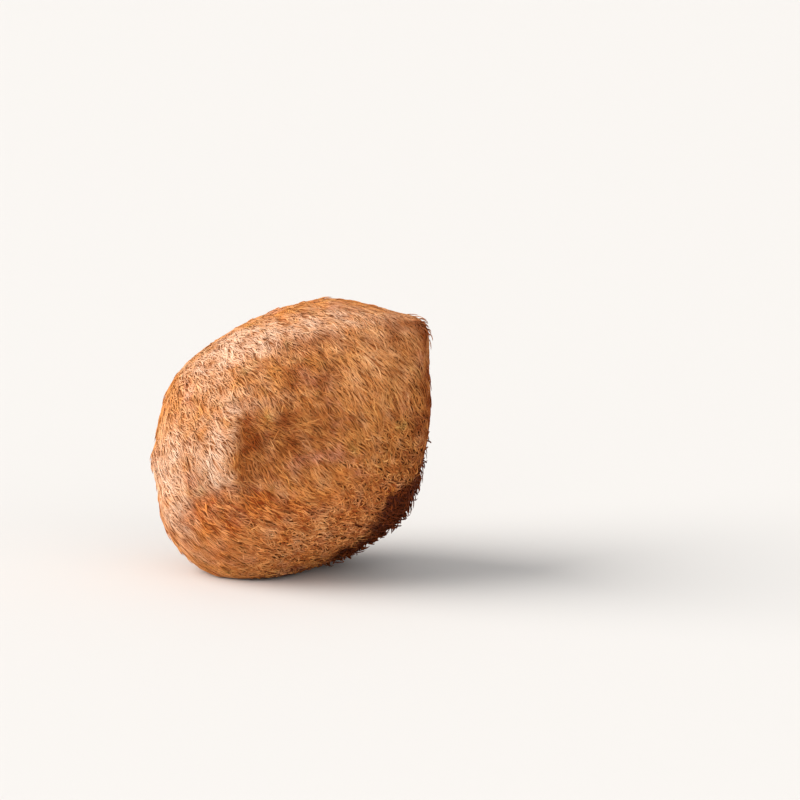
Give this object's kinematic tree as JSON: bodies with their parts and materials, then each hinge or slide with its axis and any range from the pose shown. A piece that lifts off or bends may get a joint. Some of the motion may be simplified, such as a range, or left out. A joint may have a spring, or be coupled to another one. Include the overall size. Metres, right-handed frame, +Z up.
{
  "type": "lion's mane mushroom",
  "caption": "Dried lion's mane mushroom: a lopsided egg-shaped body coated in fine flattened spines, resting on a flat cut scar.",
  "frame": {"origin": "on the plane of the cut scar that the mushroom rests on, under the middle of its bounding box", "axes": "+Z up; +X to the right, the way the body leans and its spines are combed; -Y is the front"},
  "size_m": [0.0748, 0.0694, 0.0736],
  "materials": {
    "dried_flesh": "matt, dry and fibrous, like cork under a coat of fine spines"
  },
  "bodies": {
    "root": {"fruit_body": "dried_flesh"}
  },
  "joints": []
}
